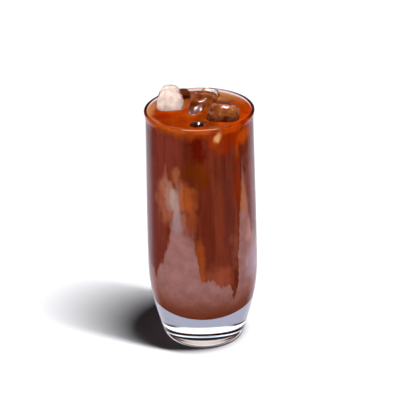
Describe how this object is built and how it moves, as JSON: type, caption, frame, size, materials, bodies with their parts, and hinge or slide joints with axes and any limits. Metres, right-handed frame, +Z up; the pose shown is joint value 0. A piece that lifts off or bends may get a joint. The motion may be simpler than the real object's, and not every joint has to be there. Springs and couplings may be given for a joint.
{
  "type": "iced coffee",
  "caption": "Tall clear tumbler with a thick foot, filled almost to the rim with layered milky and dark iced coffee, with half-melted ice standing out of the top.",
  "frame": {"origin": "middle of the foot, on the surface that the glass stands on", "axes": "+Z up along the glass, -Y towards the viewer of the picture, +X to the viewer's right"},
  "size_m": [0.0646, 0.0646, 0.1561],
  "materials": {
    "clear_glass": "clear, fire polished",
    "milky_coffee": "cloudy liquid, pale mauve brown",
    "dark_coffee": "glossy liquid, dark red brown to orange where thin",
    "clear_ice": "wet, clear with cloudy cores"
  },
  "bodies": {
    "root": {"glass": "clear_glass", "milky_coffee": "milky_coffee", "dark_coffee": "dark_coffee", "ice_tall": "clear_ice", "ice_middle": "clear_ice", "ice_right": "clear_ice", "ice_front": "clear_ice", "ice_back": "clear_ice", "ice_behind": "clear_ice"}
  },
  "joints": []
}
